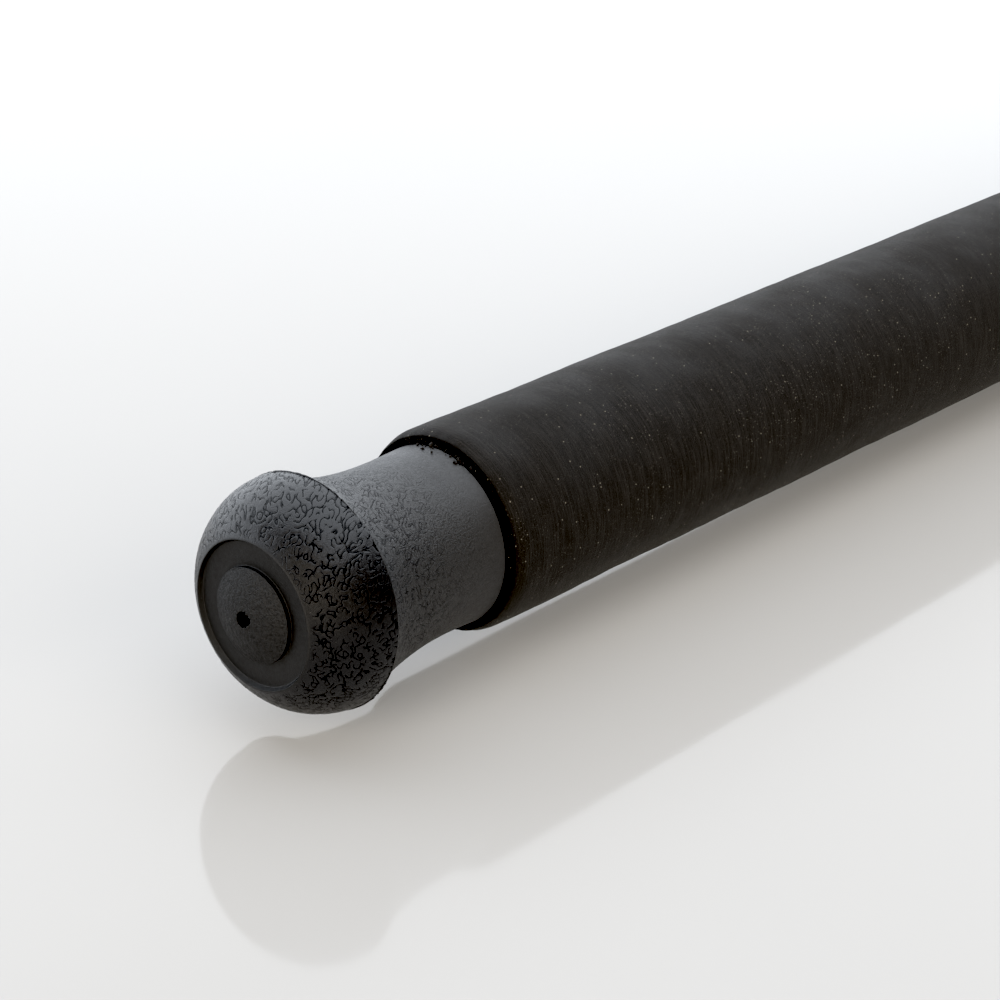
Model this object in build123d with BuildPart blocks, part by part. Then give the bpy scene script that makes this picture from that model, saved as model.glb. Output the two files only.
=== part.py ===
"""Swing trainer stick: a weighted foam barrel with a rubber knob cap, on a stepped steel shaft with a golf grip.

All sizes are in millimetres. The stick lies along X with its knob at the -X end, and +Z is up. The origin is
under the middle of the stick, level with the lowest point of the knob. Every sketch below is drawn in the
stick's own lengthwise plane: x is the station, the distance from the knob's rim towards the grip, and y is the
radius from the stick's axis.
"""

from build123d import *
import os

os.makedirs("parts", exist_ok=True)

# Knob cap: one rubber moulding with a recessed end, a domed button, a bulge, a waist and a skirt
rim_radius = 14.7
recess_depth = 1.0
button_radius = 9.4
button_dome = 2.4
button_sphere = (button_radius**2 + button_dome**2) / (2 * button_dome)
vent_radius = 1.6
vent_mouth = button_sphere - button_dome - (button_sphere**2 - vent_radius**2) ** 0.5
knob_radius = 23.4
knob_depth = 14.4
knob_arc_radius = (knob_depth**2 + (knob_radius - rim_radius) ** 2) / (2 * (knob_radius - rim_radius))
neck_radius = 20.1
neck = 22.5
waist_radius = 18.2
waist = 40.5
skirt_radius = 18.45
skirt_end = 49.2
core_pocket_radius = 9.0
core_pocket_front = 6.0

# Barrel: foam over an aluminium tube
tube_radius = 15.0
tube_wall = 1.2
tube_bore = tube_radius - tube_wall
tube_front = 14.0
tube_flange = 2.0
tube_rear = 550.0
foam_radius = 21.0
foam_front = 50.3
foam_rear = 540.0
foam_edge_drop = 1.0
foam_edge_length = 3.7
foam_edge_arc = (foam_edge_length**2 + foam_edge_drop**2) / (2 * foam_edge_drop)

# Weight stack in the barrel's front
plug_rear = 30.0
slug_count = 2
slug_length = 35.0
slug_radius = 13.5
slug_chamfer = 1.0
buffer_length = 5.0
retainer_length = 16.0
pin_radius = 2.0
pin_wall = 0.6
pin_slot = 0.8

# Stepped steel shaft: a straight tip, then equal steps up to the butt
tip_radius = 4.7
tip_end = 326.0
first_step = 428.0
step_pitch = 38.1
step_rise = 0.2
step_count = 14
shaft_wall = 0.9
butt_end = 1003.0
tip_plug_length = 12.0

# Bushings that centre the shaft in the tube
front_bushing_start = 330.0
front_bushing_length = 22.0
rear_bushing_start = 506.0
shaft_pin_station = 524.0

# Collar and ferrule behind the foam
collar_radius = 22.3
collar_band = 8.0
collar_waist_radius = 13.6
collar_waist = 569.0
collar_nose_radius = 9.0
collar_end = 598.0
ferrule_end = 620.0
ferrule_lip = 0.5

# Golf grip, its tape and its moulded cap
grip_mouth = 748.0
grip_mouth_radius = 9.3
grip_lip_length = 8.0
grip_lip_radius = 9.9
grip_middle = 880.0
grip_middle_radius = 11.4
grip_upper = 975.0
grip_upper_radius = 13.6
grip_end = 1003.0
grip_end_radius = 15.5
tape_start = 751.0
tape_thickness = 0.35
grip_cap_end = 1013.0
grip_cap_radius = 16.0
grip_cap_edge = 2.4
grip_vent_radius = 1.5

# The stick's place: its axis is one knob radius above the ground, and its middle is over the origin
overall_length = grip_cap_end - vent_mouth
rim_x = -vent_mouth - overall_length / 2
stick_plane = Plane(origin=(rim_x, 0, knob_radius), x_dir=(1, 0, 0), z_dir=(0, -1, 0))
stick_axis = Axis((rim_x, 0, knob_radius), (1, 0, 0))


def cross_plane(station):
    """The plane square to the stick at a station, facing the grip."""
    return Plane(origin=(rim_x + station, 0, knob_radius), x_dir=(0, 1, 0), z_dir=(1, 0, 0))


def flat_plane(station):
    """The horizontal plane through the stick's axis, centred on a station."""
    return Plane(origin=(rim_x + station, 0, knob_radius), x_dir=(1, 0, 0), z_dir=(0, 0, 1))


def shaft_radius(station):
    """The shaft's outside radius at a station."""
    steps = 0 if station < first_step else int((station - first_step) // step_pitch) + 1
    return tip_radius + step_rise * min(steps, step_count)


def stepped_line(start, end, allowance):
    """Corner points of the shaft's stepped outline between two stations, at an allowance outside its surface."""
    points = [(start, shaft_radius(start) + allowance)]
    for step in range(step_count):
        station = first_step + step * step_pitch
        if start < station < end:
            points.append((station, tip_radius + step_rise * step + allowance))
            points.append((station, tip_radius + step_rise * (step + 1) + allowance))
    points.append((end, shaft_radius(end) + allowance))
    return points


def save(piece, name):
    """Label a finished piece and write it as its own STEP file."""
    piece.label = name
    export_step(piece, f"parts/{name}.step")


# Rubber knob cap: bulge, waist and skirt outside, tube socket and core pocket inside
with BuildPart() as end_cap:
    with BuildSketch(stick_plane):
        with BuildLine():
            dome = RadiusArc((vent_mouth, vent_radius), (0, button_radius), button_sphere)
            recess = Polyline(dome @ 1, (recess_depth, button_radius), (recess_depth, rim_radius - 0.5), (0, rim_radius))
            bulge = RadiusArc(recess @ 1, (knob_depth, knob_radius), knob_arc_radius)
            hollow = Spline(
                bulge @ 1,
                (neck, neck_radius),
                (waist, waist_radius),
                (skirt_end, skirt_radius),
                tangents=[(1, -0.75), (1, 0.05)],
            )
            Polyline(
                hollow @ 1,
                (skirt_end, tube_radius),
                (tube_front - tube_flange, tube_radius),
                (tube_front - tube_flange, core_pocket_radius),
                (core_pocket_front, core_pocket_radius),
                (core_pocket_front, vent_radius),
                (vent_mouth, vent_radius),
            )
        make_face()
    revolve(axis=stick_axis)
save(end_cap.part, "end_cap")

# Nylon plug that closes the tube inside the cap
with BuildPart() as tube_plug:
    with BuildSketch(cross_plane(tube_front - tube_flange)):
        Circle(tube_radius)
    extrude(amount=tube_flange)
    with BuildSketch(cross_plane(tube_front)):
        Circle(tube_bore)
    extrude(amount=plug_rear - tube_front)
    chamfer(tube_plug.edges().sort_by(Axis.X)[-1], slug_chamfer)
save(tube_plug.part, "tube_plug")

# Weight stack: a rubber buffer before, between and after the steel slugs
slug_pitch = slug_length + buffer_length
for index in range(slug_count + 1):
    with BuildPart() as weight_buffer:
        with BuildSketch(cross_plane(plug_rear + index * slug_pitch)):
            Circle(tube_bore)
        extrude(amount=buffer_length)
    save(weight_buffer.part, f"weight_buffer_{index + 1}")

for index in range(slug_count):
    with BuildPart() as weight_slug:
        with BuildSketch(cross_plane(plug_rear + buffer_length + index * slug_pitch)):
            Circle(slug_radius)
        extrude(amount=slug_length)
        chamfer(weight_slug.edges(), slug_chamfer)
    save(weight_slug.part, f"weight_slug_{index + 1}")

# Nylon retainer behind the stack, cross-drilled for its pin
retainer_front = plug_rear + buffer_length + slug_count * slug_pitch
retainer_pin_station = retainer_front + retainer_length / 2
with BuildPart() as weight_retainer:
    with BuildSketch(cross_plane(retainer_front)):
        Circle(tube_bore)
    extrude(amount=retainer_length)
    with BuildSketch(flat_plane(retainer_pin_station)):
        Circle(pin_radius)
    extrude(amount=tube_radius, both=True, mode=Mode.SUBTRACT)
save(weight_retainer.part, "weight_retainer")

# Slotted spring pins: one through the retainer, one through the rear bushing and the shaft
for name, station in (("retainer_pin", retainer_pin_station), ("shaft_pin", shaft_pin_station)):
    with BuildPart() as spring_pin:
        with BuildSketch(flat_plane(station)):
            Circle(pin_radius)
            Circle(pin_radius - pin_wall, mode=Mode.SUBTRACT)
            with Locations((pin_radius, 0)):
                Rectangle(2 * pin_radius, pin_slot, mode=Mode.SUBTRACT)
        extrude(amount=tube_radius - 0.3, both=True)
    save(spring_pin.part, name)

# Aluminium barrel tube, cross-drilled for both pins
with BuildPart() as barrel_tube:
    with BuildSketch(cross_plane(tube_front)):
        Circle(tube_radius)
        Circle(tube_bore, mode=Mode.SUBTRACT)
    extrude(amount=tube_rear - tube_front)
    for station in (retainer_pin_station, shaft_pin_station):
        with BuildSketch(flat_plane(station)):
            Circle(pin_radius)
        extrude(amount=tube_radius + 1, both=True, mode=Mode.SUBTRACT)
save(barrel_tube.part, "barrel_tube")

# EVA foam sleeve over the tube, its front edge softened
with BuildPart() as foam_sleeve:
    with BuildSketch(stick_plane):
        with BuildLine():
            face = Line((foam_front, tube_radius), (foam_front, foam_radius - foam_edge_drop))
            edge = RadiusArc(face @ 1, (foam_front + foam_edge_length, foam_radius), foam_edge_arc)
            Polyline(edge @ 1, (foam_rear, foam_radius), (foam_rear, tube_radius), face @ 0)
        make_face()
    revolve(axis=stick_axis)
save(foam_sleeve.part, "foam_sleeve")

# Nylon bushings that centre the shaft in the tube; the rear one is cross-drilled for the shaft pin
with BuildPart() as front_bushing:
    with BuildSketch(cross_plane(front_bushing_start)):
        Circle(tube_bore)
        Circle(tip_radius, mode=Mode.SUBTRACT)
    extrude(amount=front_bushing_length)
    chamfer(front_bushing.edges().group_by(Axis.X)[0].sort_by(SortBy.RADIUS)[-1], slug_chamfer)
save(front_bushing.part, "front_bushing")

with BuildPart() as rear_bushing:
    with BuildSketch(stick_plane):
        with BuildLine():
            bore = Polyline(stepped_line(rear_bushing_start, tube_rear, 0))
            Polyline(bore @ 1, (tube_rear, tube_bore), (rear_bushing_start, tube_bore), bore @ 0)
        make_face()
    revolve(axis=stick_axis)
    with BuildSketch(flat_plane(shaft_pin_station)):
        Circle(pin_radius)
    extrude(amount=tube_radius, both=True, mode=Mode.SUBTRACT)
save(rear_bushing.part, "rear_bushing")

# Stepped steel shaft, hollow from tip to butt, cross-drilled for the shaft pin
with BuildPart() as shaft:
    with BuildSketch(stick_plane):
        with BuildLine():
            outside = Polyline(stepped_line(tip_end, butt_end, 0))
            inside = Polyline(stepped_line(tip_end, butt_end, -shaft_wall))
            Line(outside @ 0, inside @ 0)
            Line(outside @ 1, inside @ 1)
        make_face()
    revolve(axis=stick_axis)
    with BuildSketch(flat_plane(shaft_pin_station)):
        Circle(pin_radius)
    extrude(amount=tube_radius, both=True, mode=Mode.SUBTRACT)
save(shaft.part, "shaft")

# Plastic plug that closes the shaft's tip
with BuildPart() as shaft_tip_plug:
    with BuildSketch(cross_plane(tip_end)):
        Circle(tip_radius - shaft_wall)
    extrude(amount=tip_plug_length)
save(shaft_tip_plug.part, "shaft_tip_plug")

# Rubber collar: a band that covers the foam's end, then a hollow taper down to the shaft
with BuildPart() as collar:
    with BuildSketch(stick_plane):
        with BuildLine():
            bore = Polyline(stepped_line(tube_rear, collar_end, 0))
            band = Polyline(
                bore @ 0,
                (tube_rear, tube_radius),
                (foam_rear, tube_radius),
                (foam_rear, collar_radius),
                (foam_rear + collar_band, collar_radius),
            )
            taper = Spline(
                band @ 1,
                (collar_waist, collar_waist_radius),
                (collar_end, collar_nose_radius),
                tangents=[(0.6, -1), (1, -0.06)],
            )
            Line(taper @ 1, bore @ 1)
        make_face()
    revolve(axis=stick_axis)
    band_edges = collar.edges().filter_by(GeomType.CIRCLE).group_by(SortBy.RADIUS)[-1]
    fillet(band_edges, 1.0)
save(collar.part, "collar")

# Tapered plastic ferrule between the collar and the bare shaft
with BuildPart() as ferrule:
    with BuildSketch(stick_plane):
        with BuildLine():
            bore = Polyline(stepped_line(collar_end, ferrule_end, 0))
            front = Line(bore @ 0, (collar_end, collar_nose_radius))
            land = Line(front @ 1, (collar_end + 4, collar_nose_radius))
            lip = bore @ 1 + Vector(0, ferrule_lip)
            taper = Spline(land @ 1, lip, tangents=[(1, 0), (1, -0.12)])
            Line(taper @ 1, bore @ 1)
        make_face()
    revolve(axis=stick_axis)
save(ferrule.part, "ferrule")

# Double-sided tape between the shaft and the grip
with BuildPart() as grip_tape:
    with BuildSketch(stick_plane):
        with BuildLine():
            under = Polyline(stepped_line(tape_start, butt_end, 0))
            over = Polyline(stepped_line(tape_start, butt_end, tape_thickness))
            Line(under @ 0, over @ 0)
            Line(under @ 1, over @ 1)
        make_face()
    revolve(axis=stick_axis)
save(grip_tape.part, "grip_tape")

# Rubber golf grip: a lip at the mouth, a long taper and a flare at the butt
with BuildPart() as grip:
    with BuildSketch(stick_plane):
        with BuildLine():
            bore = Polyline(stepped_line(grip_mouth, grip_end, tape_thickness))
            lip = Polyline(
                bore @ 0,
                (grip_mouth, grip_lip_radius),
                (grip_mouth + grip_lip_length, grip_lip_radius),
                (grip_mouth + grip_lip_length, grip_mouth_radius),
            )
            body = Spline(
                lip @ 1,
                (grip_middle, grip_middle_radius),
                (grip_upper, grip_upper_radius),
                (grip_end, grip_end_radius),
                tangents=[(1, 0.012), (1, 0.12)],
            )
            Line(body @ 1, bore @ 1)
        make_face()
    revolve(axis=stick_axis)
save(grip.part, "grip")

# Moulded cap on the grip's butt, with its vent hole
with BuildPart() as grip_cap:
    with BuildSketch(cross_plane(grip_end)):
        Circle(grip_cap_radius)
        Circle(grip_vent_radius, mode=Mode.SUBTRACT)
    extrude(amount=grip_cap_end - grip_end)
    end_edges = grip_cap.edges().group_by(Axis.X)[-1]
    fillet(end_edges.sort_by(SortBy.RADIUS)[-1], grip_cap_edge)
save(grip_cap.part, "grip_cap")
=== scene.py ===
"""The looks of the swing trainer stick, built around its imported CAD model.

The stick lies along X with its knob at the -X end. Lengths below are in millimetres: a station is the
distance from the knob's rim towards the grip, and a radius is taken from the stick's axis. An angle round the
stick is zero at the top and grows towards the front (-Y). Blender's objects are in metres.
"""

import math

import bpy
import numpy as np
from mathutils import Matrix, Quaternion, Vector


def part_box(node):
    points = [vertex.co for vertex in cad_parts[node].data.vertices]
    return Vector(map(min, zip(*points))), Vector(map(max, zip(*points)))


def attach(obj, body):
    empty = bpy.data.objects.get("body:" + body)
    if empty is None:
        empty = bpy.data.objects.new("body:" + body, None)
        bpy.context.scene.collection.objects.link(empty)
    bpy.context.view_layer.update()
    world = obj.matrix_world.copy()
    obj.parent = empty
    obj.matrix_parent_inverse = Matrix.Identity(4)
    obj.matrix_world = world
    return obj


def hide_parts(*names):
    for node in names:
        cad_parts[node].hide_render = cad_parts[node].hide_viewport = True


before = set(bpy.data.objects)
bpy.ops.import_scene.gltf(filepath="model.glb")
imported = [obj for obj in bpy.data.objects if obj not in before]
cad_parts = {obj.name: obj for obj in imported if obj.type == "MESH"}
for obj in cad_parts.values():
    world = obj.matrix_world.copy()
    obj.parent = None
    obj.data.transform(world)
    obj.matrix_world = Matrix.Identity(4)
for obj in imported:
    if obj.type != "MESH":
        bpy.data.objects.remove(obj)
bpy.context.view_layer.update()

MM = 0.001


def node_radius(node):
    """The outside radius of a CAD node, in millimetres."""
    low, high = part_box(node)
    return (high.z - low.z) / 2 / MM


# Knob cap
RIM_RADIUS = 14.7
RECESS_DEPTH = 1.0
BUTTON_RADIUS = 9.4
BUTTON_DOME = 2.4
VENT_RADIUS = 1.6
KNOB_RADIUS = node_radius("end_cap")
SEAM = 14.4
NECK = (22.5, 20.1)
WAIST = (40.5, 18.2)
SKIRT = (49.2, 18.45)
SOCKET_FRONT = 12.0
POCKET_FRONT = 6.0
POCKET_RADIUS = 9.0
TUBE_RADIUS = node_radius("barrel_tube")

cap_low, cap_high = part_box("end_cap")
RIM_X = cap_high.x - SKIRT[0] * MM
AXIS_Z = (cap_low.z + cap_high.z) / 2


def station_of(node, end):
    """The station of a CAD node's knob end (0) or grip end (1)."""
    return (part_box(node)[end].x - RIM_X) / MM


# Everything behind the cap takes its places from the CAD nodes
FOAM_FRONT, FOAM_REAR = station_of("foam_sleeve", 0), station_of("foam_sleeve", 1)
FOAM_RADIUS = node_radius("foam_sleeve")
TUBE_REAR = station_of("barrel_tube", 1)
COLLAR_END = station_of("collar", 1)
COLLAR_RADIUS = node_radius("collar")
FERRULE_END = station_of("ferrule", 1)
SHAFT_TIP, SHAFT_BUTT = station_of("shaft", 0), station_of("shaft", 1)
GRIP_MOUTH, GRIP_END = station_of("grip", 0), station_of("grip", 1)
GRIP_CAP_END = station_of("grip_cap", 1)
GRIP_CAP_RADIUS = node_radius("grip_cap")

# The shaft's steps, its wall and the tape under the grip, as in the CAD
TIP_RADIUS = 4.7
FIRST_STEP = 428.0
STEP_PITCH = 38.1
STEP_RISE = 0.2
STEP_COUNT = 14
SHAFT_WALL = 0.9
TAPE = 0.35


# ---------------------------------------------------------------- outlines

def arc(start, end, radius, pitch):
    """Points of the circular arc from start to end, bulging away from the axis."""
    start, end = np.array(start), np.array(end)
    middle, chord = (start + end) / 2, end - start
    length = np.hypot(*chord)
    inward = np.array((chord[1], -chord[0])) / length
    centre = middle + inward * math.sqrt(radius**2 - (length / 2) ** 2)
    first = math.atan2(*(start - centre)[::-1])
    sweep = math.atan2(*(end - centre)[::-1]) - first
    sweep_steps = math.ceil(abs(sweep) * radius / pitch)
    turns = np.linspace(0, (sweep + math.pi) % (2 * math.pi) - math.pi, sweep_steps + 1)
    return [tuple(centre + radius * np.array((math.cos(first + t), math.sin(first + t)))) for t in turns]


def smooth(points, first_way, last_way, pitch):
    """Points of the smooth curve through the given points, leaving and arriving along the given ways."""
    points = np.array(points, float)
    gaps = np.hypot(*np.diff(points, axis=0).T)
    count = len(points)
    rows, sums = np.eye(count), np.zeros((count, 2))
    sums[0] = np.array(first_way) / np.hypot(*first_way)
    sums[-1] = np.array(last_way) / np.hypot(*last_way)
    for i in range(1, count - 1):
        before, after = 1 / gaps[i - 1], 1 / gaps[i]
        rows[i, i - 1 : i + 2] = before, 2 * (before + after), after
        sums[i] = 3 * ((points[i] - points[i - 1]) * before**2 + (points[i + 1] - points[i]) * after**2)
    ways = np.linalg.solve(rows, sums)
    curve = [tuple(points[0])]
    for i, gap in enumerate(gaps):
        steps = math.ceil(gap / pitch)
        for t in np.arange(1, steps + 1) / steps:
            place = (
                (2 * t**3 - 3 * t**2 + 1) * points[i]
                + (t**3 - 2 * t**2 + t) * gap * ways[i]
                + (3 * t**2 - 2 * t**3) * points[i + 1]
                + (t**3 - t**2) * gap * ways[i + 1]
            )
            curve.append(tuple(place))
    return curve


def softened(points, radius, pitch=None, sharpest=20):
    """A closed outline with its corners rounded, and its long runs divided where a pitch is given."""
    points = [np.array(p, float) for p in points]
    made = []
    for i, point in enumerate(points):
        before, after = points[i - 1] - point, points[(i + 1) % len(points)] - point
        reach_before, reach_after = np.hypot(*before), np.hypot(*after)
        turn = 180 - math.degrees(math.acos(np.clip(before @ after / reach_before / reach_after, -1, 1)))
        if turn < sharpest:
            made.append(point)
            continue
        cut = min(radius, 0.4 * reach_before, 0.4 * reach_after)
        enter, leave = point + before / reach_before * cut, point + after / reach_after * cut
        for t in (0, 0.25, 0.5, 0.75, 1):
            made.append((1 - t) ** 2 * enter + 2 * t * (1 - t) * point + t**2 * leave)
    if pitch is None:
        return np.array(made)
    divided = []
    for i, point in enumerate(made):
        following = made[(i + 1) % len(made)]
        steps = max(1, math.ceil(np.hypot(*(following - point)) / pitch))
        divided.extend(point + (following - point) * k / steps for k in range(steps))
    return np.array(divided)


def stepped(start, end, allowance):
    """Corners of the stepped shaft's outline between two stations, at an allowance outside its surface."""
    points = []
    for step in range(STEP_COUNT):
        station = FIRST_STEP + step * STEP_PITCH
        if start < station < end:
            points.append((station - 0.1, TIP_RADIUS + STEP_RISE * step + allowance))
            points.append((station + 0.1, TIP_RADIUS + STEP_RISE * (step + 1) + allowance))
    first = points[0][1] if points else shaft_radius(start) + allowance
    last = points[-1][1] if points else first
    return [(start, first), *points, (end, last)]


def shaft_radius(station):
    """The shaft's outside radius at a station."""
    steps = 0 if station < FIRST_STEP else int((station - FIRST_STEP) // STEP_PITCH) + 1
    return TIP_RADIUS + STEP_RISE * min(steps, STEP_COUNT)


# ---------------------------------------------------------------- fields over a surface

def ramp(value, low, high):
    """0 below low, 1 above high, smooth between."""
    t = np.clip((value - low) / (high - low), 0, 1)
    return t * t * (3 - 2 * t)


STROKES = np.array((0.80, -0.60, 0.0))  # the way the strokes of the mould's grain run


def worms(points, wavelength, seed, waves=56, drawn=0.0):
    """A random field of one wavelength and unit spread, whose zero lines wander like worm tracks.

    drawn stretches the tracks along the strokes.
    """
    rng = np.random.default_rng(seed)
    ways = rng.normal(size=(waves, 3))
    ways *= 2 * math.pi / wavelength / np.linalg.norm(ways, axis=1)[:, None]
    ways -= drawn * np.outer(ways @ STROKES, STROKES)
    phases = rng.uniform(0, 2 * math.pi, waves)
    return np.cos(points @ ways.T + phases).sum(-1) * math.sqrt(2 / waves)


def round_noise(angles, seed, lowest, highest):
    """A random line round the stick, about -1 to 1, with between lowest and highest waves to the turn."""
    rng = np.random.default_rng(seed)
    counts = np.arange(lowest, highest + 1)
    sizes = rng.normal(size=len(counts)) / math.sqrt(len(counts))
    phases = rng.uniform(0, 2 * math.pi, len(counts))
    return (sizes * np.cos(np.multiply.outer(angles, counts) + phases)).sum(-1)


# ---------------------------------------------------------------- meshes

def turned(name, outline, segments, relief=None, shift=None, fields=None):
    """A closed surface made by turning a closed outline round the stick's axis.

    relief(stations, radii, angles, points) gives how far each point stands out along the outline's normal,
    shift the same for a move in (station, front, up), and fields are named values stored on the points.
    """
    ring = np.array(outline)
    along = np.roll(ring, -1, 0) - np.roll(ring, 1, 0)
    normal = np.stack((-along[:, 1], along[:, 0]), 1) / np.hypot(*along.T)[:, None]
    following = np.roll(ring, -1, 0)
    if (ring[:, 0] * following[:, 1] - following[:, 0] * ring[:, 1]).sum() > 0:
        normal = -normal
    angles = np.arange(segments) * 2 * math.pi / segments
    s, a = np.meshgrid(ring[:, 0], angles, indexing="ij")
    r = np.repeat(ring[:, 1:], segments, 1)
    flat = np.stack((s, r * np.sin(a), r * np.cos(a)), -1)
    grid = flat.copy()
    if relief is not None:
        height = relief(s, r, a, flat)
        grid[..., 0] += height * normal[:, :1]
        grid[..., 1] += height * normal[:, 1:] * np.sin(a)
        grid[..., 2] += height * normal[:, 1:] * np.cos(a)
    if shift is not None:
        grid += shift(s, r, a)
    place = np.stack((RIM_X + grid[..., 0] * MM, -grid[..., 1] * MM, AXIS_Z + grid[..., 2] * MM), -1)
    index = np.arange(len(ring) * segments).reshape(len(ring), segments)
    right, down = np.roll(index, -1, 1), np.roll(index, -1, 0)
    faces = np.stack((index, right, np.roll(down, -1, 1), down), -1).reshape(-1, 4)
    piece = mesh_piece(name, place.reshape(-1, 3), faces)
    for field, values in (fields(s, r, a, flat) if fields else {}).items():
        stored = piece.data.attributes.new(field, "FLOAT", "POINT")
        stored.data.foreach_set("value", values.astype(np.float32).ravel())
    return piece


def mesh_piece(name, places, faces):
    """A smooth-shaded mesh object with its faces turned outwards."""
    mesh = bpy.data.meshes.new(name)
    mesh.from_pydata(places.tolist(), [], faces.tolist())
    corners = places[faces[:, :3]]
    volume = np.einsum("ij,ij->i", corners[:, 0], np.cross(corners[:, 1], corners[:, 2])).sum()
    if volume < 0:
        mesh.flip_normals()
    mesh.polygons.foreach_set("use_smooth", np.ones(len(faces), bool))
    mesh.update()
    piece = bpy.data.objects.new(name, mesh)
    bpy.context.scene.collection.objects.link(piece)
    return piece


def finish_piece(piece, material, slot, *replaced):
    """Gives a piece its material and lets it ride with the stick in place of its CAD nodes. The slot is not
    used.
    """
    piece.data.materials.append(material)
    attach(piece, "root")
    if replaced:
        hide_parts(*replaced)
    return piece


# ---------------------------------------------------------------- node materials

class Nodes:
    """A node tree that is built up socket by socket."""

    def __init__(self, tree):
        self.tree = tree

    def node(self, kind, inputs=None, **settings):
        made = self.tree.nodes.new("ShaderNode" + kind)
        for key, value in settings.items():
            setattr(made, key, value)
        for key, value in (inputs or {}).items():
            self.feed(made.inputs[key], value)
        return made

    def feed(self, socket, value):
        if isinstance(value, bpy.types.NodeSocket):
            self.tree.links.new(value, socket)
        else:
            socket.default_value = value

    def math(self, operation, *values):
        return self.node("Math", dict(enumerate(values)), operation=operation).outputs[0]

    def between(self, value, low, high, to_low=0.0, to_high=1.0):
        """Runs smoothly from to_low to to_high as value goes from low to high."""
        inputs = {"Value": value, "From Min": low, "From Max": high, "To Min": to_low, "To Max": to_high}
        return self.node("MapRange", inputs, interpolation_type="SMOOTHSTEP").outputs[0]

    def mix(self, share, first, second):
        """A colour between two, each a colour or a socket."""
        first, second = ((*c, 1) if isinstance(c, tuple) and len(c) == 3 else c for c in (first, second))
        return self.node("Mix", {0: share, 6: first, 7: second}, data_type="RGBA").outputs[2]


class Surface(Nodes):
    """A node material round a Principled shader. Its coordinates are the stick's own, in millimetres."""

    def __init__(self, name, **uniform):
        self.material = bpy.data.materials.new(name)
        self.material.use_nodes = True
        super().__init__(self.material.node_tree)
        self.shader = self.tree.nodes["Principled BSDF"]
        for socket, value in uniform.items():
            self.set(socket.replace("_", " "), value)
        place = self.node("TexCoord").outputs["Object"]
        self.place = self.node("VectorMath", {0: place, "Scale": 1 / MM}, operation="SCALE").outputs[0]

    def set(self, socket, value):
        self.feed(self.shader.inputs[socket], value)

    def stretched(self, x, y, z):
        """The coordinates with each axis scaled."""
        return self.node("VectorMath", {0: self.place, 1: (x, y, z)}, operation="MULTIPLY").outputs[0]

    def noise(self, size, detail=2.0, roughness=0.5, place=None):
        """Noise with features of about a size in millimetres."""
        inputs = {"Vector": place or self.place, "Scale": 1 / size, "Detail": detail, "Roughness": roughness}
        return self.node("TexNoise", inputs).outputs[0]

    def attribute(self, name):
        return self.node("Attribute", attribute_name=name).outputs["Fac"]

    def specks(self, cell, size, share):
        """1 inside sparse round specks of about a size: a share of the cells holds one."""
        voronoi = self.node("TexVoronoi", {"Vector": self.place, "Scale": 1 / cell, "Randomness": 1.0})
        lot = self.node("SeparateColor", {0: voronoi.outputs["Color"]}).outputs[0]
        chosen = self.math("LESS_THAN", lot, share)
        near = self.between(voronoi.outputs["Distance"], 0.35 * size / cell, 0.55 * size / cell, 1.0, 0.0)
        return self.math("MULTIPLY", chosen, near)

    def bump(self, height, distance, below=None):
        """The shading normal of a relief whose height runs from 0 to 1 over a distance in millimetres."""
        inputs = {"Height": height, "Distance": distance * MM, "Strength": 1.0}
        if below is not None:
            inputs["Normal"] = below
        return self.node("Bump", inputs).outputs[0]


CAP_GLOSS = 0.54
GRAINED_ROUGHNESS = 0.36
# The near black of the painted shade put into the grain's grooves and pits.
PAINTED_SHADE_BLACK = (0.0015, 0.0015, 0.0015)


def cap_rubber(name, shiny, dull, grain_line, dull_roughness):
    """Moulded rubber: one colour where it is polished, another where it is dull, and painted shade darkening
    the lines and pits of its grain.

    grain_line says at what sizes of the grain field a line is full and gone.
    """
    surface = Surface(name, Specular_IOR_Level=CAP_GLOSS)
    polish = surface.attribute("polish")
    cloudy = surface.noise(7.0, 4.0, 0.6)
    grained = surface.mix(cloudy, tuple(0.75 * c for c in shiny), shiny)
    matte = surface.mix(cloudy, tuple(0.78 * c for c in dull), dull)
    colour = surface.mix(polish, matte, grained)
    line = surface.between(surface.math("ABSOLUTE", surface.attribute("grain")), *grain_line, 1.0, 0.0)
    groove = surface.math("MULTIPLY", line, surface.attribute("groove_depth"))
    peel = surface.noise(0.40, 2.0, 0.6)
    low_peel = surface.between(peel, 0.38, 0.55, 0.45, 0.0)
    pit = surface.math("MULTIPLY", low_peel, surface.attribute("pits"))
    # Painted shade: the grooves and pits are darkened in colour, standing in for the shade that falls inside
    # them.
    painted_shade = surface.math("MAXIMUM", groove, pit)
    colour = surface.mix(surface.math("MULTIPLY", painted_shade, 0.70), colour, PAINTED_SHADE_BLACK)
    dust = surface.math("MULTIPLY", surface.specks(0.9, 0.16, 0.35), 0.22)
    colour = surface.mix(dust, colour, (0.20, 0.195, 0.19))
    surface.set("Base Color", colour)
    # Painted shade: the reflection is dimmed in the grooves and pits as well.
    surface.set("Specular Tint", surface.mix(painted_shade, (1.0, 1.0, 1.0), (0.38, 0.38, 0.38)))
    grime = surface.between(surface.noise(0.8, 4.0, 0.6), 0.3, 0.7, -0.05, 0.05)
    gloss = surface.between(polish, 0.0, 1.0, dull_roughness, GRAINED_ROUGHNESS)
    surface.set("Roughness", surface.math("ADD", gloss, grime))
    fine = surface.bump(surface.noise(0.20, 2.0, 0.65), 0.03)
    peeled = surface.bump(surface.math("MULTIPLY", peel, surface.attribute("pits")), 0.22, fine)
    surface.set("Normal", surface.bump(surface.math("SUBTRACT", 1.0, groove), 0.24, peeled))
    return surface.material


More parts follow.
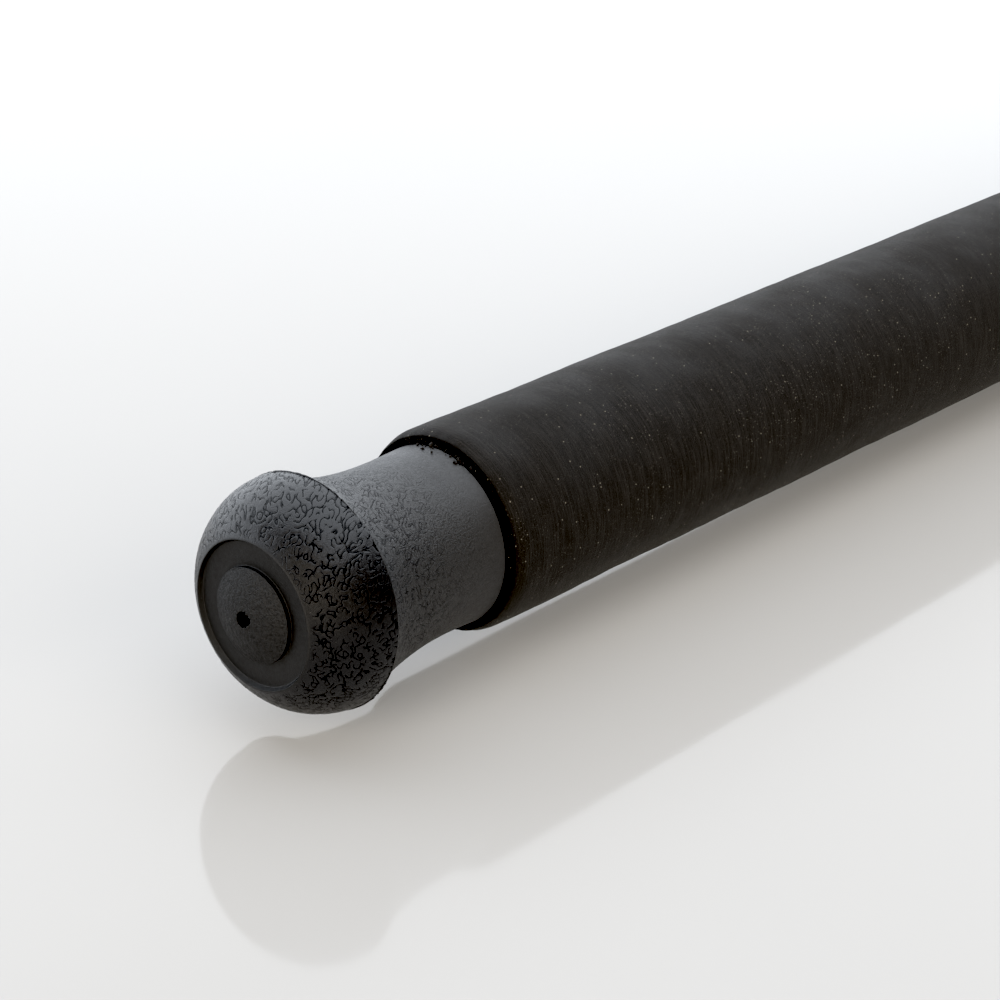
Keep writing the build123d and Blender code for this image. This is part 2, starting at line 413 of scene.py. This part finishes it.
def eva_foam():
    """Ground EVA foam: matte warm black, fine lathe lines, tiny open cells, pale dust, and a cut end darkened
    by painted shade.
    """
    surface = Surface("eva_foam", Specular_IOR_Level=0.24, Sheen_Roughness=0.45, Sheen_Weight=0.05)
    patches = surface.noise(14.0, 4.0, 0.6)
    lathe = surface.noise(0.24, 2.0, 0.6, surface.stretched(1.0, 0.04, 0.04))
    grit = surface.noise(0.17, 2.0, 0.7)
    colour = surface.mix(patches, (0.0075, 0.0070, 0.0068), (0.0125, 0.0118, 0.0115))
    colour = surface.mix(surface.between(lathe, 0.42, 0.68, 0.0, 0.55), colour, (0.027, 0.0255, 0.0245))
    colour = surface.mix(surface.between(grit, 0.50, 0.70, 0.0, 0.60), colour, (0.036, 0.034, 0.032))
    # Painted shade: the cut front end, sunk in the gap behind the cap's skirt, is darkened towards near
    # black, broken up a little by its open cells.
    shaded_cut = surface.math("MULTIPLY", surface.attribute("cut"), surface.between(grit, 0.35, 0.65, 1.0, 0.55))
    colour = surface.mix(shaded_cut, colour, (0.0065, 0.0061, 0.0058))
    dusty = surface.between(surface.noise(22.0, 2.0), 0.35, 0.65, 0.10, 0.42)
    dust = surface.math("MULTIPLY", surface.specks(0.62, 0.19, 0.75), dusty)
    lint = surface.math("MULTIPLY", surface.specks(1.7, 0.30, 0.6), 0.5)
    colour = surface.mix(dust, colour, (0.26, 0.24, 0.21))
    colour = surface.mix(lint, colour, (0.34, 0.31, 0.26))
    surface.set("Base Color", colour)
    surface.set("Roughness", surface.between(patches, 0.3, 0.7, 0.72, 0.84))
    surface.set("Normal", surface.bump(lathe, 0.03, surface.bump(grit, 0.08)))
    return surface.material


PALE_DUST = (0.2, 0.19, 0.18)


def collar_rubber():
    """Matte moulded rubber with a faint orange-peel skin."""
    surface = Surface("collar_rubber", Specular_IOR_Level=0.5)
    cloudy = surface.noise(7.0, 3.0)
    colour = surface.mix(cloudy, (0.014, 0.014, 0.015), (0.024, 0.024, 0.026))
    dust = surface.math("MULTIPLY", surface.specks(1.4, 0.15, 0.12), 0.5)
    colour = surface.mix(dust, colour, PALE_DUST)
    surface.set("Base Color", colour)
    surface.set("Roughness", surface.between(cloudy, 0.3, 0.7, 0.48, 0.60))
    skin = surface.bump(surface.noise(0.25, 2.0, 0.6), 0.03)
    surface.set("Normal", surface.bump(surface.noise(1.1, 1.0), 0.04, skin))
    return surface.material


def ferrule_plastic():
    """Polished black plastic with faint wipe marks."""
    surface = Surface("ferrule_plastic", Specular_IOR_Level=0.5, Coat_Weight=0.5, Coat_Roughness=0.08)
    wiped = surface.noise(1.2, 3.0, 0.6, surface.stretched(1.0, 0.15, 0.15))
    surface.set("Base Color", surface.mix(wiped, (0.008, 0.008, 0.009), (0.016, 0.016, 0.017)))
    surface.set("Roughness", surface.between(wiped, 0.3, 0.7, 0.16, 0.28))
    surface.set("Normal", surface.bump(surface.noise(2.5, 2.0), 0.01))
    return surface.material


def bright_steel(name, colour, low, high, along=0.04):
    """Metal with a grain drawn out along the stick, and slightly duller patches."""
    surface = Surface(name, Metallic=1.0)
    grain = surface.noise(0.3, 3.0, 0.6, surface.stretched(along, 1.0, 1.0))
    patches = surface.noise(11.0, 3.0)
    darker = tuple(0.86 * c for c in colour)
    surface.set("Base Color", surface.mix(patches, darker, colour))
    surface.set("Roughness", surface.between(grain, 0.3, 0.7, low, high))
    surface.set("Normal", surface.bump(grain, 0.004))
    return surface.material


def turned_steel():
    """Bright bar steel with turning marks across it and a little oil staining."""
    surface = Surface("weight_steel", Metallic=1.0)
    marks = surface.noise(0.35, 3.0, 0.6, surface.stretched(1.0, 0.03, 0.03))
    stain = surface.noise(8.0, 4.0, 0.6)
    stained = surface.between(stain, 0.5, 0.75)
    surface.set("Base Color", surface.mix(stained, (0.56, 0.55, 0.53), (0.36, 0.32, 0.27)))
    surface.set("Roughness", surface.between(marks, 0.3, 0.7, 0.24, 0.42))
    surface.set("Normal", surface.bump(marks, 0.02))
    return surface.material


def plain_polymer(name, colour, roughness, grain, relief):
    """Moulded polymer: slight colour variation and a fine skin."""
    surface = Surface(name)
    cloudy = surface.noise(6.0, 3.0)
    surface.set("Base Color", surface.mix(cloudy, tuple(0.82 * c for c in colour), colour))
    uneven = surface.noise(grain * 3)
    surface.set("Roughness", surface.between(uneven, 0.3, 0.7, roughness - 0.06, roughness + 0.06))
    surface.set("Normal", surface.bump(surface.noise(grain, 2.0, 0.6), relief))
    return surface.material


def grip_rubber():
    """Golf grip rubber: matte black, with painted shade darkening its grooves, pale dust and a fine skin."""
    surface = Surface("grip_rubber", Specular_IOR_Level=0.45)
    cloudy = surface.noise(10.0, 3.0)
    colour = surface.mix(cloudy, (0.016, 0.016, 0.017), (0.027, 0.027, 0.029))
    groove = surface.attribute("groove")
    # Painted shade: the grooves of the grip and of its cap's rings are darkened, standing in for the shade
    # inside them.
    colour = surface.mix(surface.math("MULTIPLY", groove, 0.5), colour, (0.008, 0.008, 0.008))
    dust = surface.math("MULTIPLY", surface.specks(1.6, 0.16, 0.10), 0.5)
    colour = surface.mix(dust, colour, PALE_DUST)
    surface.set("Base Color", colour)
    surface.set("Roughness", surface.between(surface.noise(1.0, 3.0), 0.3, 0.7, 0.60, 0.74))
    surface.set("Normal", surface.bump(surface.noise(0.35, 2.0, 0.6), 0.05))
    return surface.material


# ---------------------------------------------------------------- the knob cap

MOULD_SLIP = 0.38  # how far the rear half of the cap sits below the knob half
TOP_OF_FLASH = math.radians(-2)
FOOT_OF_FLASH = math.radians(133)
KNOB_GRAIN = 1.24  # wavelengths of the two grains
WAIST_GRAIN = 1.06
GRAIN_DEPTH = 0.11
GRAIN_SPREAD = 0.62  # the size of the grain field at which a groove has faded
BREAK = 0.08  # how much of a groove is left where the strokes are broken off


def knob_outline():
    """The knob half's closed outline: vent, button, rim and knob as far as the seam, and back inside."""
    sphere = (BUTTON_RADIUS**2 + BUTTON_DOME**2) / (2 * BUTTON_DOME)
    knob_arc = (SEAM**2 + (KNOB_RADIUS - RIM_RADIUS) ** 2) / (2 * (KNOB_RADIUS - RIM_RADIUS))
    across = np.linspace(VENT_RADIUS, BUTTON_RADIUS, 34)
    dome = [(sphere - BUTTON_DOME - math.sqrt(sphere**2 - r**2), r) for r in across]
    floor = [(RECESS_DEPTH, r) for r in np.linspace(BUTTON_RADIUS, RIM_RADIUS - 0.5, 12)]
    knob = arc((0, RIM_RADIUS), (SEAM, KNOB_RADIUS), knob_arc, 0.18)
    inside = [
        (SEAM, TUBE_RADIUS),
        (SOCKET_FRONT, TUBE_RADIUS),
        (SOCKET_FRONT, POCKET_RADIUS),
        (POCKET_FRONT, POCKET_RADIUS),
        (POCKET_FRONT, VENT_RADIUS),
    ]
    return softened([*dome, *floor, *knob, *inside], 0.22)


def waist_outline():
    """The rear half's closed outline: from the seam along the waist and skirt, and back inside."""
    waist = smooth([(SEAM, KNOB_RADIUS), NECK, WAIST, SKIRT], (1, -0.75), (1, 0.05), 0.24)
    return softened([*waist, (SKIRT[0], TUBE_RADIUS), (SEAM, TUBE_RADIUS)], 0.22)


def knob_fields(s, r, a, flat):
    """The grain field, how deep its lines are cut, how much pitting shows, and where the rubber shines. The
    cut lines and the pits also carry the rubber's painted shade.
    """
    rounded = ramp(r, RIM_RADIUS - 0.1, RIM_RADIUS + 0.25) * ramp(s, 12.0, 11.0)
    outside = rounded + ramp(s, 11.0, 12.0) * ramp(r, 20, 21)
    knob = outside * ramp(s, -0.1, 0.35) * ramp(s, SEAM + 0.02, SEAM - 0.12)
    broken = BREAK + (1 - BREAK) * ramp(worms(flat, 2.3, 13), -0.75, -0.15)
    button = ramp(r, BUTTON_RADIUS + 0.1, BUTTON_RADIUS - 0.3) * ramp(s, 1.2, 0.6)
    return {
        "grain": worms(flat, KNOB_GRAIN, 11, drawn=0.62),
        "groove_depth": broken * knob * ramp(s, 0.0, 1.2),
        "pits": np.clip(0.12 + 0.9 * button, 0, 1),
        "polish": knob,
    }


def waist_fields(s, r, a, flat):
    """As knob_fields: the grain is finer, and fades out towards the skirt."""
    outside = ramp(r, TUBE_RADIUS + 1.5, TUBE_RADIUS + 2.2)
    fading = 0.08 + 0.72 * ramp(s, 44.0, 22.0)
    ends = ramp(s, SEAM + 0.1, SEAM + 0.3) * ramp(s, 48.5, 46)
    broken = BREAK + (1 - BREAK) * ramp(worms(flat, 2.1, 17), -0.7, 0.0)
    return {
        "grain": worms(flat, WAIST_GRAIN, 12, drawn=0.4),
        "groove_depth": broken * outside * fading * ends,
        "pits": outside * (0.25 + 0.45 * ramp(s, SEAM, 30) * ramp(s, 49, 40)),
        "polish": np.zeros_like(s),
    }


def grain_relief(fields):
    """The grooves, cut softly along the grain field's zero lines."""
    line = np.exp(-((fields["grain"] / GRAIN_SPREAD) ** 2))
    return -GRAIN_DEPTH * line * fields["groove_depth"]


def knob_relief(s, r, a, flat):
    """Grain lines cut into the knob, a soft unevenness, a slightly rough button and a ragged vent."""
    fields = knob_fields(s, r, a, flat)
    swell = 0.025 * worms(flat, 9.0, 14) * fields["polish"]
    off_vent = ramp(r, VENT_RADIUS, VENT_RADIUS + 1)
    button = ramp(r, BUTTON_RADIUS, BUTTON_RADIUS - 1) * off_vent * ramp(s, 1.2, 0.6)
    vent = ramp(r, VENT_RADIUS + 0.6, VENT_RADIUS) * ramp(s, 3.0, -1.0)
    ragged = (0.16 * round_noise(a, 15, 2, 5) + 0.07 * round_noise(a, 18, 7, 16)) * vent
    return grain_relief(fields) + swell + 0.02 * worms(flat, 1.3, 16) * button + ragged


def waist_relief(s, r, a, flat):
    """The waist's finer grain and a soft unevenness."""
    swell = 0.02 * worms(flat, 12.0, 19) * ramp(r, TUBE_RADIUS + 1.5, TUBE_RADIUS + 2.2)
    return grain_relief(waist_fields(s, r, a, flat)) + swell


def mould_slip(s, r, a):
    """The rear half of the mould sits a little low, down to nothing at the skirt."""
    down = np.zeros((*s.shape, 3))
    down[..., 2] = -MOULD_SLIP * ramp(s, 47.0, 20.0) * ramp(r, TUBE_RADIUS + 0.5, TUBE_RADIUS + 2.0)
    return down


def flash_height(angles):
    """How far the moulding flash stands out: a thin broken fin at the top, a ragged one at the foot."""
    off_top = np.abs((angles - TOP_OF_FLASH + math.pi) % (2 * math.pi) - math.pi)
    off_foot = np.abs((angles - FOOT_OF_FLASH + math.pi) % (2 * math.pi) - math.pi)
    top = ramp(off_top, 0.62, 0.40) * (0.72 + 0.28 * ramp(round_noise(angles, 21, 10, 40), -0.9, 0.2))
    foot = ramp(off_foot, 0.42, 0.15) * ramp(round_noise(angles, 22, 16, 90), -0.8, 0.6)
    return np.maximum(0.02 + 0.03 * round_noise(angles, 23, 20, 90) + 0.17 * top + 0.26 * foot, 0.01)


def seam_flash(material):
    """The fin of rubber squeezed out where the mould's halves met, buried a little at its foot."""
    buried, half_foot, half_tip = 0.25, 0.10, 0.035
    base = KNOB_RADIUS - buried
    outline = np.array([
        (SEAM - half_foot, base),
        (SEAM - half_tip, KNOB_RADIUS),
        (SEAM + half_tip, KNOB_RADIUS),
        (SEAM + half_foot, base),
    ])

    def rise(s, r, a):
        out = np.zeros((*s.shape, 3))
        lift = np.where(r > base + 0.1, flash_height(a), 0)
        out[..., 1], out[..., 2] = lift * np.sin(a), lift * np.cos(a)
        return out

    def plain(s, r, a, flat):
        zero = np.zeros_like(s)
        return {"grain": zero + 1, "groove_depth": zero, "pits": zero, "polish": zero + 1}

    fin = turned("cap_flash", outline, 900, shift=rise, fields=plain)
    return finish_piece(fin, material, "cap_rubber")


CRUMB_HEAPS = ((-5, 4, 11), (16, 5, 15), (4, 24, 7))  # each heap's angle, its spread and its count
SMALLEST_CRUMB, LARGEST_CRUMB = 0.16, 0.66
CRUMB_CORNERS = ((1, 0, 0), (-1, 0, 0), (0, 1, 0), (0, -1, 0), (0, 0, 1), (0, 0, -1))
CRUMB_FACES = ((0, 2, 4), (2, 1, 4), (1, 3, 4), (3, 0, 4), (2, 0, 5), (1, 2, 5), (3, 1, 5), (0, 3, 5))


def crumbs(material):
    """Crumbs of foam and glue caught at the top of the skirt, beside the foam's end."""
    rng = np.random.default_rng(31)
    places, faces = [], []
    for middle, spread, count in CRUMB_HEAPS:
        for _ in range(count):
            size = SMALLEST_CRUMB + (LARGEST_CRUMB - SMALLEST_CRUMB) * rng.random() ** 2.0
            station = SKIRT[0] + 0.4 - 2.6 * rng.random() ** 2.5
            angle = math.radians(rng.normal(middle, spread))
            radius = SKIRT[1] + size * 0.3
            centre = np.array((station, radius * math.sin(angle), radius * math.cos(angle)))
            corners = np.array(CRUMB_CORNERS) + 0.25 * rng.normal(size=(6, 3))
            first = len(places)
            for corner in centre + corners * size:
                places.append((RIM_X + corner[0] * MM, -corner[1] * MM, AXIS_Z + corner[2] * MM))
            faces.extend((first + i, first + j, first + k) for i, j, k in CRUMB_FACES)
    piece = mesh_piece("foam_crumbs", np.array(places), np.array(faces))
    return finish_piece(piece, material, "eva_foam")


# ---------------------------------------------------------------- barrel, shaft and grip

def foam_outline():
    """The sleeve's closed outline: a rounded front edge, a straight run, finer near the knob, and a bore."""
    drop, length = 1.0, 3.7
    edge_arc = (length**2 + drop**2) / (2 * drop)
    edge = arc((FOAM_FRONT, FOAM_RADIUS - drop), (FOAM_FRONT + length, FOAM_RADIUS), edge_arc, 0.4)
    front = smooth([edge[-1], (FOAM_FRONT + 150, FOAM_RADIUS)], (1, 0), (1, 0), 0.9)[1:]
    back = smooth([front[-1], (FOAM_REAR, FOAM_RADIUS)], (1, 0), (1, 0), 2.4)[1:]
    return softened([*edge, *front, *back, (FOAM_REAR, TUBE_RADIUS), (FOAM_FRONT, TUBE_RADIUS)], 0.35)


def foam_relief(s, r, a, flat):
    """A ground surface that is never quite even, with tool chatter and a slightly ragged front edge."""
    outside = ramp(r, TUBE_RADIUS + 2, TUBE_RADIUS + 3)
    uneven = 0.06 * worms(flat, 38.0, 41) + 0.02 * worms(flat, 7.0, 42)
    ragged = 0.05 * round_noise(a, 43, 6, 50) * ramp(s, FOAM_FRONT + 3, FOAM_FRONT)
    return (uneven + ragged) * outside - 0.05 * outside


def foam_fields(s, r, a, flat):
    """Where the sleeve's front end is cut open rather than ground, and where the foam's painted shade darkens
    it.
    """
    return {"cut": ramp(s, FOAM_FRONT + 0.9, FOAM_FRONT + 0.1) * ramp(s, FOAM_FRONT - 0.5, FOAM_FRONT - 0.3)}


COLLAR_BAND = 8.0  # the length of the collar's widest part
COLLAR_TAPER = (569, 13.6)
COLLAR_NECK = 9.0
COLLAR_RINGS = (580, 585, 590)


def collar_outline():
    """The collar's closed outline: a band, a taper to the ferrule, and back along the shaft and tube."""
    wide, narrow = (FOAM_REAR + COLLAR_BAND, COLLAR_RADIUS), (COLLAR_END, COLLAR_NECK)
    taper = smooth([wide, COLLAR_TAPER, narrow], (0.6, -1), (1, -0.06), 0.5)
    bore = stepped(TUBE_REAR, COLLAR_END, 0)
    front = [(FOAM_REAR, TUBE_RADIUS), (FOAM_REAR, COLLAR_RADIUS)]
    return softened([*front, *taper, *bore[::-1], (TUBE_REAR, TUBE_RADIUS)], 0.9)


def collar_relief(s, r, a, flat):
    """Three shallow rings pressed into the taper's thin end."""
    rings = sum(np.exp(-(((s - station) / 0.8) ** 2)) for station in COLLAR_RINGS)
    return -0.35 * rings * ramp(r, 7.5, 8.5)


def ferrule_outline():
    """The ferrule's closed outline: a cone from the collar down to the shaft, and back along the shaft."""
    lip = shaft_radius(FERRULE_END) + 0.5
    taper = smooth([(COLLAR_END + 4, COLLAR_NECK), (FERRULE_END, lip)], (1, 0), (1, -0.12), 0.5)
    bore = stepped(COLLAR_END, FERRULE_END, 0)
    return softened([(COLLAR_END, COLLAR_NECK), *taper, *bore[::-1]], 0.15)


def shaft_outline():
    """The hollow shaft's closed outline, stepped outside and inside."""
    outside = stepped(SHAFT_TIP, SHAFT_BUTT, 0)
    inside = stepped(SHAFT_TIP, SHAFT_BUTT, -SHAFT_WALL)
    return softened([*outside, *inside[::-1]], 0.2, 12.0)


GRIP_LIP, GRIP_LIP_RADIUS = 8.0, 9.9
GRIP_BODY = ((GRIP_MOUTH + GRIP_LIP, 9.3), (880, 11.4), (975, 13.6), (GRIP_END, 15.5))
GRIP_BAND = 62.0  # the distance from one patterned band to the next
GRIP_GROOVE = 0.42


def grip_outline():
    """The grip's closed outline: a lip at its mouth, a body that widens to the butt, and the tape's bore."""
    body = smooth(GRIP_BODY, (1, 0.012), (1, 0.12), 0.52)
    bore = stepped(GRIP_MOUTH, GRIP_END, TAPE)
    lip = [(GRIP_MOUTH, GRIP_LIP_RADIUS), (GRIP_MOUTH + GRIP_LIP, GRIP_LIP_RADIUS)]
    return softened([*lip, *body, *bore[::-1]], 0.5)


def grip_fields(s, r, a, flat):
    """Crossing spiral grooves in bands, with plain bands between them."""
    banding = np.sin((s - GRIP_MOUTH) * 2 * math.pi / GRIP_BAND)
    bands = ramp(banding, -0.72, -0.62)
    ends = ramp(s, GRIP_MOUTH + 14, GRIP_MOUTH + 15) * ramp(s, GRIP_END - 12, GRIP_END - 13)
    patterned = ends * ramp(r, 8.6, 9.0)
    around, pitch = 15, 5.2
    crossing = []
    for way in (1, -1):
        wave = np.sin((around * a + way * (s - GRIP_MOUTH) * 2 * math.pi / pitch) / 2)
        crossing.append(np.exp(-((wave / 0.24) ** 2)))
    edges = np.exp(-(((banding + 0.82) / 0.05) ** 2))
    groove = np.maximum(*crossing) * bands + edges * (1 - bands)
    return {"groove": np.clip(groove * patterned, 0, 1)}


def grip_relief(s, r, a, flat):
    return -GRIP_GROOVE * grip_fields(s, r, a, flat)["groove"]


GRIP_CAP_VENT = 1.5
GRIP_CAP_RINGS = (10.5, 5.0)
GRIP_CAP_GROOVE = 0.3


def grip_cap_outline():
    """The grip cap's closed outline: its side, a rounded edge, and its face in to the vent."""
    edge = 2.4
    turn = [
        (GRIP_CAP_END - edge + edge * math.sin(t), GRIP_CAP_RADIUS - edge + edge * math.cos(t))
        for t in np.linspace(0, math.pi / 2, 9)
    ]
    face = [(GRIP_CAP_END, r) for r in np.linspace(GRIP_CAP_RADIUS - edge, GRIP_CAP_VENT, 28)[1:]]
    return softened([(GRIP_END, GRIP_CAP_VENT), (GRIP_END, GRIP_CAP_RADIUS), *turn, *face], 0.3)


def grip_cap_relief(s, r, a, flat):
    """Two rings round the vent on the cap's face."""
    face = ramp(s, GRIP_CAP_END - 0.5, GRIP_CAP_END - 0.1)
    return -GRIP_CAP_GROOVE * face * sum(np.exp(-(((r - ring) / 0.5) ** 2)) for ring in GRIP_CAP_RINGS)


def grip_cap_fields(s, r, a, flat):
    return {"groove": -grip_cap_relief(s, r, a, flat) / GRIP_CAP_GROOVE}


# ---------------------------------------------------------------- the stick

def build_stick():
    """Every visible piece, its material, and the CAD nodes that it stands for."""
    foam, rubber = eva_foam(), grip_rubber()
    knob_rubber = cap_rubber(
        "knob_rubber",
        shiny=(0.0070, 0.0070, 0.0080),
        dull=(0.0080, 0.0080, 0.0084),
        grain_line=(0.14, 0.50),
        dull_roughness=0.60,
    )
    waist_rubber = cap_rubber(
        "waist_rubber",
        shiny=(0.022, 0.022, 0.022),
        dull=(0.029, 0.029, 0.030),
        grain_line=(0.16, 0.60),
        dull_roughness=0.50,
    )
    knob = turned("cap_knob", knob_outline(), 840, knob_relief, fields=knob_fields)
    finish_piece(knob, knob_rubber, "cap_rubber", "end_cap")
    waist = turned("cap_waist", waist_outline(), 640, waist_relief, mould_slip, waist_fields)
    finish_piece(waist, waist_rubber, "cap_rubber")
    seam_flash(knob_rubber)
    sleeve = turned("foam_sleeve_cover", foam_outline(), 256, foam_relief, fields=foam_fields)
    finish_piece(sleeve, foam, "eva_foam", "foam_sleeve")
    crumbs(foam)
    collar = turned("barrel_collar", collar_outline(), 192, collar_relief)
    finish_piece(collar, collar_rubber(), "collar_rubber", "collar")
    ferrule = turned("shaft_ferrule", ferrule_outline(), 128)
    finish_piece(ferrule, ferrule_plastic(), "ferrule_plastic", "ferrule")
    chrome = bright_steel("shaft_steel", (0.62, 0.62, 0.64), 0.06, 0.14)
    shaft = turned("stepped_shaft", shaft_outline(), 128)
    finish_piece(shaft, chrome, "shaft_steel", "shaft")
    handle = turned("grip_sleeve", grip_outline(), 180, grip_relief, fields=grip_fields)
    finish_piece(handle, rubber, "grip_rubber", "grip")
    butt = turned("grip_butt_cap", grip_cap_outline(), 180, grip_cap_relief, fields=grip_cap_fields)
    finish_piece(butt, rubber, "grip_rubber", "grip_cap")


def dress_inner_nodes():
    """Materials for the CAD nodes that stay as they are, inside the barrel and the grip."""
    nylon = plain_polymer("nylon", (0.72, 0.70, 0.64), 0.42, 0.5, 0.02)
    buffer = plain_polymer("buffer_rubber", (0.030, 0.030, 0.032), 0.70, 0.3, 0.04)
    tape = plain_polymer("tape", (0.62, 0.58, 0.46), 0.66, 0.8, 0.06)
    aluminium = bright_steel("tube_aluminium", (0.80, 0.81, 0.82), 0.26, 0.40)
    pins = bright_steel("pin_steel", (0.42, 0.41, 0.40), 0.24, 0.38)
    weights = turned_steel()
    dressed = {
        "barrel_tube": aluminium,
        "retainer_pin": pins,
        "shaft_pin": pins,
        "grip_tape": tape,
        "tube_plug": nylon,
        "weight_retainer": nylon,
        "front_bushing": nylon,
        "rear_bushing": nylon,
        "shaft_tip_plug": nylon,
        "weight_slug_1": weights,
        "weight_slug_2": weights,
        "weight_buffer_1": buffer,
        "weight_buffer_2": buffer,
        "weight_buffer_3": buffer,
    }
    for name, material in dressed.items():
        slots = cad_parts[name].material_slots
        if not slots:
            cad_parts[name].data.materials.append(material)
        for slot in slots:
            slot.material = material


# ---------------------------------------------------------------- floor, light and camera

FLOOR_REACH = 60.0  # in metres
KNOB_GAP = 5.0  # how far the knob stands clear of the table, as its reflection in the photo shows
COLLAR_FOOT = 547.0  # the stations where the collar and the grip's cap touch the table
CAP_FOOT = 1010.0
TABLE_GREY, TABLE_MOTTLE = (0.510, 0.510, 0.510), (0.525, 0.525, 0.525)


def floor_material():
    """A pale, slightly glossy table top with a faint mottle."""
    surface = Surface("floor", Specular_IOR_Level=0.22)
    surface.set("Base Color", surface.mix(surface.noise(180.0, 3.0), TABLE_GREY, TABLE_MOTTLE))
    surface.set("Roughness", surface.between(surface.noise(60.0, 3.0), 0.3, 0.7, 0.06, 0.09))
    return surface.material


def build_floor():
    """The table: two flat halves that meet where the collar stands, since the knob hangs clear of it."""
    knob = Vector((RIM_X + SEAM * MM, 0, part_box("end_cap")[0].z - KNOB_GAP * MM))
    collar = Vector((RIM_X + COLLAR_FOOT * MM, 0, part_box("collar")[0].z))
    butt = Vector((RIM_X + CAP_FOOT * MM, 0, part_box("grip_cap")[0].z))
    before = collar + (knob - collar).normalized() * FLOOR_REACH
    after = collar + (butt - collar).normalized() * FLOOR_REACH
    places = [(p.x, side * FLOOR_REACH, p.z) for p in (before, collar, after) for side in (-1, 1)]
    floor = mesh_piece("floor", np.array(places), np.array(((0, 2, 3, 1), (2, 4, 5, 3))))
    floor.data.materials.append(floor_material())


# Soft boxes round the stick. Each has its lean from overhead, in degrees towards the back, its side, which is
# the X of a direction, how soft both edges are, its brightness, its colour, and the share of it that
# reflections show.
COOL, WARM = (0.945, 1.003, 1.08), (1.0, 0.925, 0.82)
SOFT_BOXES = (
    ((48, 100), (-0.90, 1.2), (4, 0.12), 1.3, COOL, 1.9),
    ((-40, 48), (-0.45, 1.2), (7, 0.2), 1.1, COOL, 2.4),
    ((-78, -8), (-1.2, -0.68), (8, 0.16), 8.6, WARM, 0.04),
    ((-82, -50), (-0.6, 0.34), (7, 0.20), 3.8, WARM, 0.03),
)
ROOM_LIGHT = 0.12
PALE = 0.86
BLACK_LEVEL = 0.032


def build_room():
    """A dim warm room: cool soft boxes above and behind the stick, warm ones in front, a pale backdrop."""
    world = bpy.data.worlds.new("room")
    world.use_nodes = True
    sky = Nodes(world.node_tree)
    x, y, z = sky.node("SeparateXYZ", {0: sky.node("TexCoord").outputs["Generated"]}).outputs
    lean = sky.math("DEGREES", sky.math("ARCTAN2", y, z))
    path = sky.node("LightPath").outputs
    light = tuple(ROOM_LIGHT * c for c in WARM)
    for leans, sides, edges, brightness, colour, reflected in SOFT_BOXES:
        inside = sky.between(path["Is Glossy Ray"], 0.0, 1.0, brightness, brightness * reflected)
        for place, (low, high), edge in ((lean, leans, edges[0]), (x, sides, edges[1])):
            inside = sky.math("MULTIPLY", inside, sky.between(place, low - edge, low + edge))
            inside = sky.math("MULTIPLY", inside, sky.between(place, high - edge, high + edge, 1.0, 0.0))
        glow = sky.node("VectorMath", {0: colour, "Scale": inside}, operation="SCALE").outputs[0]
        light = sky.node("VectorMath", {0: light, 1: glow}, operation="ADD").outputs[0]
    seen = sky.mix(path["Is Camera Ray"], light, (PALE,) * 3)
    sky.feed(sky.tree.nodes["Background"].inputs["Color"], seen)
    bpy.context.scene.world = world


def set_contrast():
    """The plain display transform, with the deepest shadows taken down to black."""
    view = bpy.context.scene.view_settings
    view.view_transform = "Standard"
    view.use_curve_mapping = True
    view.curve_mapping.black_level = (BLACK_LEVEL,) * 3
    view.curve_mapping.update()


# The photo's camera, from a fit to the cap's and the sleeve's outlines. These two are in metres from the rim.
CAMERA_FROM_RIM = Vector((-0.3225, -0.3395, 0.2435))
AIM_FROM_RIM = Vector((0.0378, -0.0263, 0.0202))
CAMERA_ROLL = math.radians(2.28)
LENS = 103.1


def build_camera():
    rim = Vector((RIM_X, 0, AXIS_Z))
    camera = bpy.data.objects.new("camera", bpy.data.cameras.new("camera"))
    camera.data.sensor_width = 36
    camera.data.lens = LENS
    camera.data.clip_start, camera.data.clip_end = 0.02, 200
    camera.location = rim + CAMERA_FROM_RIM
    aim = (AIM_FROM_RIM - CAMERA_FROM_RIM).to_track_quat("-Z", "Y")
    camera.rotation_mode = "QUATERNION"
    camera.rotation_quaternion = aim @ Quaternion((0, 0, 1), CAMERA_ROLL)
    bpy.context.scene.collection.objects.link(camera)
    bpy.context.scene.camera = camera


build_stick()
dress_inner_nodes()
build_floor()
build_room()
build_camera()
set_contrast()

bpy.context.view_layer.update()
